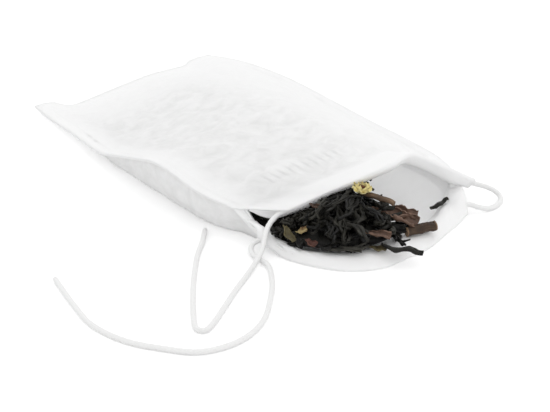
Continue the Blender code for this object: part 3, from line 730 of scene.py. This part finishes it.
def makeHeap():
    rows, columns = heap["rows"], heap["columns"]
    shape = gridShell(rows, columns)
    shade = shape.verts.layers.float.new("shade")
    uv = shape.loops.layers.uv.new("leaf")
    spots = {vert: gridSpot(vert, rows, columns) for vert in shape.verts}
    for face in shape.faces:
        for loop in face.loops:
            i, j = spots[loop.vert][:2]
            loop[uv].uv = (i / heap["mapStep"], j / heap["mapStep"])
    for vert, (i, j, low) in spots.items():
        s = heap["start"] + (heap["stop"] - heap["start"]) * i / rows
        u = j / columns
        if low:
            vert.co = heapFloor(s, u) * mm
            continue
        point = heapTop(s, u)
        # the lumps fade at the rim, and behind the mouth, where the upper ply hides them
        rim = rise(u, 0, 0.08) * rise(1 - u, 0, 0.08) * rise(1 - i / rows, 0, 0.04) * rise(s, 0.74, 0.8)
        lump = leafBumps(point.x, point.y, 40.0) - 0.9
        point.z += heap["lumps"] * lump * rim
        vert.co = point * mm
        vert[shade] = heap["shade"]
    return finishMesh("packedTea", shape, teaBlack, ("tea_heap",))


heapPiece = makeHeap()
print("packed tea made")


def restOf(name):
    # middle, directions and size of a CAD node's mesh
    points = np.array([v.co for v in nodes[name].data.vertices]) / mm
    mean = points.mean(0)
    axes = np.linalg.svd(points - mean, full_matrices=False)[2]
    spread = (points - mean) @ axes.T
    low, high = spread.min(0), spread.max(0)
    middle = Vector(mean + axes.T @ ((low + high) / 2))
    along, flat = Vector(axes[0]), Vector(axes[2])
    if along.x + 0.3 * along.y < 0:
        along.negate()
    if flat.z < 0:
        flat.negate()
    turn = Matrix((along, flat.cross(along), flat)).transposed().to_4x4()
    return Matrix.Translation(middle) @ turn, high - low


def objectTree(piece, share=1.0):
    # for ray tests against a piece, or against the first share of its faces
    mesh = piece.data
    count = int(len(mesh.polygons) * share)
    faces = [p.vertices[:] for p in mesh.polygons[:count]]
    return BVHTree.FromPolygons([v.co for v in mesh.vertices], faces)


pouchTree = objectTree(pouchPiece)
upperTree = objectTree(pouchPiece, 0.5)    # the upper ply is the first half of the pouch
stringTree = objectTree(stringPiece)
groundTrees = [objectTree(heapPiece), pouchTree]    # what a small leaf may lie on
shownTrees = []                                     # the pieces that it may not cover
draw = random.Random(5)


# one rolled leaf: sizes in millimetres, half turns that each edge rolls in, wall, bend sideways and
# upwards, twist, roughness, bluntness of the ends, sideways snaking, paler ends and uneven width
leafForm = {"length": 8.6, "width": 2.3, "thick": 1.5, "turns": 1.15, "ply": 0.2, "bend": 0.0, "lift": 0.0,
            "twist": 0.5, "rough": 0.16, "blunt": 0.45, "snake": 0.05, "ends": 0.0, "wave": 0.3,
            "rows": 26, "columns": 14}


def underCloth(point):
    # a spot over the upper ply comes down to just below it, and none sinks into the table
    point.z = max(point.z, 0.3)
    over = upperTree.ray_cast(point * mm, Vector((0, 0, -1)))[0]
    if over is None or upperTree.ray_cast(point * mm, Vector((0, 0, 1)))[0]:
        return point * mm
    below = upperTree.ray_cast(Vector((point.x * mm, point.y * mm, 0)), Vector((0, 0, 1)))[0]
    return below - Vector((0, 0, 0.25 * mm))


def addLeaf(shape, placed, seed, shade, **changes):
    # a sheet rolled inwards along both edges, twisted, bent and crumpled as it dried
    form = {**leafForm, **changes}
    rows, columns = form["rows"], form["columns"]
    leaf = gridShell(rows, columns)
    tone = leaf.verts.layers.float.new("shade")
    uv = leaf.loops.layers.uv.new("leaf")
    spots = {vert: gridSpot(vert, rows, columns) for vert in leaf.verts}
    for face in leaf.faces:
        for loop in face.loops:
            i, j, outer = spots[loop.vert]
            loop[uv].uv = (i / rows * form["length"] / 1000 + seed * 0.013,
                           j / columns * form["width"] * 2.5 / 1000 + seed * 0.007)
    # how wide the roll would come out, so that it gets the width asked for
    reach = max(math.sin(math.pi * form["turns"] * k / 10) * (1 - 0.042 * k) for k in range(11))
    for vert, (i, j, outer) in spots.items():
        q, r = i / rows - 0.5, 2 * j / columns - 1    # along the leaf and across it
        taper = max(form["blunt"], math.sin(math.pi * (q + 0.5))) ** 0.5
        taper *= 1 + form["wave"] * noise.noise(Vector((q * 6, seed * 3.1, 0.5)))
        edge = 1 + 0.25 * abs(r) * noise.noise(Vector((q * 14, r, seed)))
        angle = r * math.pi * form["turns"] * edge
        radius = form["width"] / 2 * (1 - 0.42 * abs(r)) * taper
        radius /= reach
        radius += noise.noise(Vector((q * form["length"] / 0.9, angle * 1.4, seed))) * form["rough"]
        radius = max(0.05, radius - (0.0 if outer else form["ply"] * min(1.0, taper * 1.5)))
        flatness = form["thick"] / form["width"]
        y, z = math.sin(angle) * radius, -math.cos(angle) * radius * flatness
        turn = form["twist"] * q * 2 + 0.3 * noise.noise(Vector((q * 3, seed, 2.0)))
        x = q * form["length"]
        y, z = y * math.cos(turn) - z * math.sin(turn), y * math.sin(turn) + z * math.cos(turn)
        y += form["bend"] * form["length"] * (q * q - 0.06)
        y += form["snake"] * form["length"] * math.sin(7.5 * q + seed)
        z += form["lift"] * form["length"] * (q * q - 0.06)
        z += noise.noise(Vector((q * 3.5, seed, 9.0))) * 0.05 * form["length"]
        vert.co = underCloth(placed @ Vector((x, y, z)))
        vert[tone] = shade + form["ends"] * (abs(q) > 0.47)
    bmesh.ops.recalc_face_normals(leaf, faces=leaf.faces)
    joinInto(shape, leaf)


def levelPlace(middle, heading, slope=0.0):
    # a place by its middle, its heading round the upright and how far its front points down, in degrees
    turn = Matrix.Rotation(math.radians(heading), 4, "Z") @ Matrix.Rotation(math.radians(slope), 4, "Y")
    return Matrix.Translation(middle) @ turn


def finishLeaf(name, shape, material, nodeName):
    # small leaves may lie on every finished leaf, and they leave the coloured ones free
    groundTrees.append(BVHTree.FromBMesh(shape))
    if material is not teaBlack:
        shownTrees.append(groundTrees[-1])
    return finishMesh(name, shape, material, (nodeName,), False)


def leafPiece(name, nodeName, material, slot, shift=(0, 0, 0), placed=None, **changes):
    rest, size = restOf(nodeName)
    placed = placed or Matrix.Translation(shift) @ rest
    shape = bmesh.new()
    sizes = {"length": size[0], "width": size[1] * 0.95, "thick": size[2] * 0.95}
    addLeaf(shape, placed, draw.uniform(0, 50), draw.random(), **{**sizes, **changes})
    return finishLeaf(name, shape, material, nodeName)


# a shoot's main roll and the strands beside it, as shares of the CAD leaf's width and thickness
curl = {"main": 0.42, "mainThick": 0.62, "side": 0.3, "sideThick": 0.45, "strands": 3, "offset": 0.3}
# leaves that rest lower than in the CAD model, so that none stands over the lip
lowered = {"bed_leaf": (-0.8, -0.8, -1.4), "curled_leaf_26": (0.3, -0.4, -2.3),
           "curled_leaf_24": (-2.4, -1.4, -4.2), "curled_leaf_25": (-2.0, -0.9, -3.2)}


def curledPiece(name, nodeName):
    # one withered shoot: a main roll with thinner strands curled beside it
    placed, size = restOf(nodeName)
    placed = Matrix.Translation(lowered.get(nodeName, (0, 0, 0))) @ placed
    length, width, thick = size
    shape = bmesh.new()
    seed, shade = draw.uniform(0, 50), draw.random()
    addLeaf(shape, placed, seed, shade, length=length, width=width * curl["main"],
            thick=thick * curl["mainThick"], turns=draw.uniform(0.9, 1.35), bend=draw.uniform(-0.7, 0.7),
            lift=draw.uniform(-0.35, 0.2), twist=draw.uniform(-1.8, 1.8), rough=0.12)
    for k in range(curl["strands"]):
        side = (k - 1) * curl["offset"] * width
        beside = Matrix.Translation((draw.uniform(-0.15, 0.15) * length, side,
                                     draw.uniform(-0.1, 0.25) * thick))
        beside = beside @ Matrix.Rotation(draw.uniform(-0.45, 0.45), 4, "Z")
        addLeaf(shape, placed @ beside, seed + k + 1, min(1.0, shade + draw.uniform(-0.2, 0.3)),
                length=length * draw.uniform(0.5, 0.85), width=width * curl["side"],
                thick=thick * curl["sideThick"],
                turns=draw.uniform(0.8, 1.3), bend=draw.uniform(-1.2, 1.2), twist=draw.uniform(-1.8, 1.8),
                lift=draw.uniform(-0.4, 0.5), rough=0.1, rows=20, columns=10, ply=0.13)
    return finishLeaf(name, shape, teaBlack, nodeName)


for nodeName in sorted(n for n in nodes if n.startswith("curled_leaf_")):
    curledPiece("curledLeaf" + nodeName[-2:], nodeName)
curledPiece("bedLeaf", "bed_leaf")
leafPiece("longLeaf", "long_leaf", teaBlack, "black_tea", (4.1, 0.4, -3.5), turns=1.0, bend=0.3,
          rough=0.1)
leafPiece("lipLeaf", "lip_leaf", teaBlack, "black_tea", turns=1.2, bend=0.3, rough=0.12)
leafPiece("russetLeaf", "russet_leaf", leafBrown, "brown_leaf", turns=0.7, rough=0.2)

# small coloured bits that lie on top of the leaves round them
towardsViewer = (1.9, -1.55, 1.2)
leafPiece("brownChip", "brown_chip", leafRusset, "brown_leaf",
          placed=levelPlace((45.8, -20.0, 4.6), 20, 20), turns=0.45, rough=0.12, blunt=0.7)
leafPiece("brownScrap", "brown_scrap", leafBrown, "brown_leaf",
          placed=levelPlace((41.3, -15.7, 10.2), 30, 10), turns=0.5, rough=0.12, blunt=0.5)
leafPiece("oliveLeaf", "olive_leaf", leafOlive, "olive_leaf", turns=0.6, rough=0.12)
leafPiece("oliveStrip", "olive_strip", leafOlive, "olive_leaf",
          placed=levelPlace((40.9, -22.2, 5.3), -12, 25), turns=0.55, rough=0.12, blunt=0.6)
leafPiece("looseFlowerPetal", "flower_petal", petalYellow, "yellow_petal", towardsViewer, turns=0.45,
          rough=0.08, blunt=0.6)
leafPiece("stalk", "stem", twigBark, "brown_leaf", placed=levelPlace((46.2, -2.6, 10.1), 23, 4),
          length=8.2, width=1.4, thick=1.2, turns=1.0, ply=0.6, bend=0.15, lift=-0.25, rough=0.06,
          blunt=0.7, twist=0.2, snake=0.02, wave=0.15)
leafPiece("cutTwig", "cut_twig", twigBark, "brown_leaf", turns=1.0, ply=1.1, rough=0.1, blunt=0.95,
          twist=0.2, width=2.5, thick=2.1, ends=3.0, snake=0.0, wave=0.06)

# the folded leaf's two lobes: how far ahead and aside, turn and length
folded = {"middle": (48.2, 1.2, 6.2), "heading": 32, "slope": 6,
          "lobes": ((-0.08, 0.2, 0.12, 1.05), (0.1, -0.2, -0.2, 0.95))}


def makeFoldedLeaf():
    # two lobes folded over each other
    size = restOf("big_leaf")[1]
    placed = levelPlace(folded["middle"], folded["heading"], folded["slope"])
    shape = bmesh.new()
    for k, (ahead, side, turn, share) in enumerate(folded["lobes"]):
        lobe = Matrix.Translation((ahead * size[0], side * size[1], 0.15 * k))
        lobe = lobe @ Matrix.Rotation(turn, 4, "Z")
        addLeaf(shape, placed @ lobe, 11.3 + 5 * k, 0.75, length=size[0] * share * 1.3,
                width=size[1] * 1.1, thick=size[2] * 1.6, turns=0.5, twist=0.2, rough=0.25, ply=0.3,
                blunt=0.6, snake=0.02, columns=18)
    return finishLeaf("foldedLeaf", shape, leafBrown, "big_leaf")


flower = {"petals": 12, "outerRing": 7, "step": 0.9, "length": 2.1, "width": 1.7, "thick": 1.1}


def makeFlower():
    # an outer and an inner ring of petals round a darker heart
    placed = restOf("flower_bud")[0]
    shape = bmesh.new()
    for k in range(flower["petals"]):
        ring = k // flower["outerRing"]
        turn = Matrix.Rotation(k * flower["step"] + 0.4 * ring, 4, "Z")
        turn = turn @ Matrix.Rotation(-0.35 - 0.45 * ring, 4, "Y")
        out = Matrix.Translation((1.0 - 0.4 * ring, 0, 0.25 * ring))
        addLeaf(shape, placed @ turn @ out, k * 1.7, 1.1 + 0.12 * (k % 3),
                length=flower["length"] - 0.5 * ring, width=flower["width"], thick=flower["thick"],
                turns=0.4, rough=0.06, rows=12, columns=8, ply=0.1, blunt=0.9, lift=0.2, snake=0)
    addLeaf(shape, placed @ Matrix.Translation((0, 0, 0.55)), 3.3, -0.5, length=1.2, width=1.0, thick=0.7,
            turns=1.2, rough=0.15, rows=12, columns=10, blunt=0.6)
    return finishLeaf("driedFlower", shape, petalYellow, "flower_bud")


makeFoldedLeaf()
makeFlower()
print("picked pieces made")


crumb = {"count": 540, "tries": 5200, "along": (0.75, 0.985), "across": (0.05, 0.62), "length": (2.2, 6.6),
         "width": (0.85, 1.7), "pile": 2.2, "roof": 0.9, "top": 14.0}
# curled leaves between the tea and the brown pieces: middle, heading, length and width
fillers = (((50.8, -0.7, 3.6), 30, 6.0, 1.9),
           ((48.5, 1.9, 3.2), 62, 5.2, 1.6),
           ((49.9, -1.5, 4.6), 10, 6.2, 1.8),
           ((51.2, -1.8, 3.0), -10, 5.0, 1.6),
           ((48.0, -0.8, 5.6), 50, 6.0, 1.8),
           ((49.6, -3.3, 5.4), -25, 6.5, 2.0),
           ((46.0, -0.8, 7.2), 20, 4.6, 1.6),
           ((46.5, 1.2, 5.0), 75, 4.4, 1.5))


def clearOf(tree, base, forward, reach):
    # nothing of the pouch within reach to either side
    return not any(tree.ray_cast(base * mm, forward * sign, reach * mm)[0] for sign in (1, -1))


def makeCrumbs():
    # small leaves and broken bits that fill the mouth between the long ones
    shape = bmesh.new()
    made = 0
    for k in range(crumb["tries"]):
        if made == crumb["count"]:
            break
        s, v = draw.uniform(*crumb["along"]), draw.uniform(*crumb["across"])
        heading, seed, shade = draw.uniform(0, math.pi), draw.uniform(0, 90), draw.random()
        length, width = draw.uniform(*crumb["length"]), draw.uniform(*crumb["width"])
        turns, twist, bend = draw.uniform(0.7, 1.3), draw.uniform(-1.8, 1.8), draw.uniform(-1.2, 1.2)
        if v < 0.2:
            length *= 0.65
        u = (v - heapAcross(s, 0)) / (heapAcross(s, 1) - heapAcross(s, 0))
        if u > 0.9:
            continue
        spot = heapTop(s, max(0.0, u))
        spot += sheetPoint(lowerLip, s, v) - sheetPoint(lowerLip, s, heapAcross(s, max(0.0, u)))
        high = upperPoint(s, v).z if s < 0.93 else crumb["top"]
        start = Vector((spot.x, spot.y, min(high - crumb["roof"], crumb["top"])))
        hits = [tree.ray_cast(start * mm, Vector((0, 0, -1))) for tree in groundTrees]
        hits = [hit for hit in hits if hit[0]]
        if not hits:
            continue
        top = max(hits, key=lambda hit: hit[0].z)
        base = top[0] / mm
        if base.z > spot.z + crumb["pile"] or base.z < 0.2:
            continue
        up = (top[1] + Vector((0, 0, 0.9))).normalized()
        forward = Vector((math.cos(heading), math.sin(heading), 0))
        forward = (forward - up * forward.dot(up)).normalized()
        middle = base + up * width * 0.45
        if any(tree.find_nearest(middle * mm, length * 0.4 * mm)[0] for tree in shownTrees):
            continue
        if stringTree.find_nearest(middle * mm, length * 0.55 * mm)[0]:
            continue
        if not clearOf(pouchTree, middle, forward, length / 2 + 0.3):
            continue
        if not clearOf(pouchTree, middle, up.cross(forward), width + 0.2):
            continue
        if pouchTree.ray_cast(middle * mm, up, (width * 0.6 + 0.2) * mm)[0]:
            continue
        turn = Matrix((forward, up.cross(forward), up)).transposed().to_4x4()
        leaf = bmesh.new()
        addLeaf(leaf, Matrix.Translation(middle) @ turn, seed, shade, length=length, width=width,
                thick=width * 0.75, turns=turns, twist=twist, bend=bend, rough=0.09, rows=11, columns=6,
                ply=0.14)
        groundTrees.append(BVHTree.FromBMesh(leaf))
        joinInto(shape, leaf)
        made += 1
    for k, (middle, heading, length, width) in enumerate(fillers):
        addLeaf(shape, levelPlace(middle, heading), 2.7 * k, 0.12 * k, length=length, width=width,
                thick=width * 0.8, turns=1.1, twist=1.2, bend=(-1) ** k * 0.9, rough=0.1, rows=20,
                columns=10)
    print("small leaves:", made)
    return finishMesh("smallLeaves", shape, teaBlack, (), False)


makeCrumbs()

# Floor and light
studio = {"floor": (0.88, 0.88, 0.88), "glow": 0.3, "world": 0.955, "key": 0.4, "fill": 0.1}
floorShape = bmesh.new()
bmesh.ops.create_grid(floorShape, x_segments=1, y_segments=1, size=2.0)
floorMesh = bpy.data.meshes.new("floor")
floorShape.to_mesh(floorMesh)
floorShape.free()
floor = bpy.data.objects.new("floor", floorMesh)
bpy.context.collection.objects.link(floor)
floorMaterial, tree, shader = newMaterial("whiteFloor")
shader.inputs["Base Color"].default_value = (*studio["floor"], 1)
shader.inputs["Roughness"].default_value = 0.9
glow = mathNode(tree, "MULTIPLY", seenDirectly(tree), studio["glow"])
shader.inputs["Emission Color"].default_value = (1, 1, 1, 1)
tree.links.new(glow, shader.inputs["Emission Strength"])
floorMesh.materials.append(floorMaterial)

world = bpy.data.worlds.new("paleRoom")
world.use_nodes = True
bpy.context.scene.world = world
tree = world.node_tree
backdrop = mathNode(tree, "MULTIPLY", seenDirectly(tree), 1 - studio["world"])
strength = mathNode(tree, "ADD", backdrop, studio["world"])
tree.links.new(strength, tree.nodes["Background"].inputs["Strength"])
tree.nodes["Background"].inputs["Color"].default_value = (1, 1, 1, 1)


def softLamp(name, spot, aim, size, power):
    lamp = bpy.data.lights.new(name, "AREA")
    lamp.shape = "SQUARE"
    lamp.size = size
    lamp.energy = power
    made = bpy.data.objects.new(name, lamp)
    made.location = spot
    made.rotation_euler = (Vector(aim) - Vector(spot)).to_track_quat("-Z", "Y").to_euler()
    bpy.context.collection.objects.link(made)


softLamp("topLamp", (-0.15, 0.35, 0.75), (0, 0, 0), 0.7, studio["key"])
softLamp("sideLamp", (0.75, 0.1, 0.5), (0, 0, 0), 0.6, studio["fill"])
print("light made")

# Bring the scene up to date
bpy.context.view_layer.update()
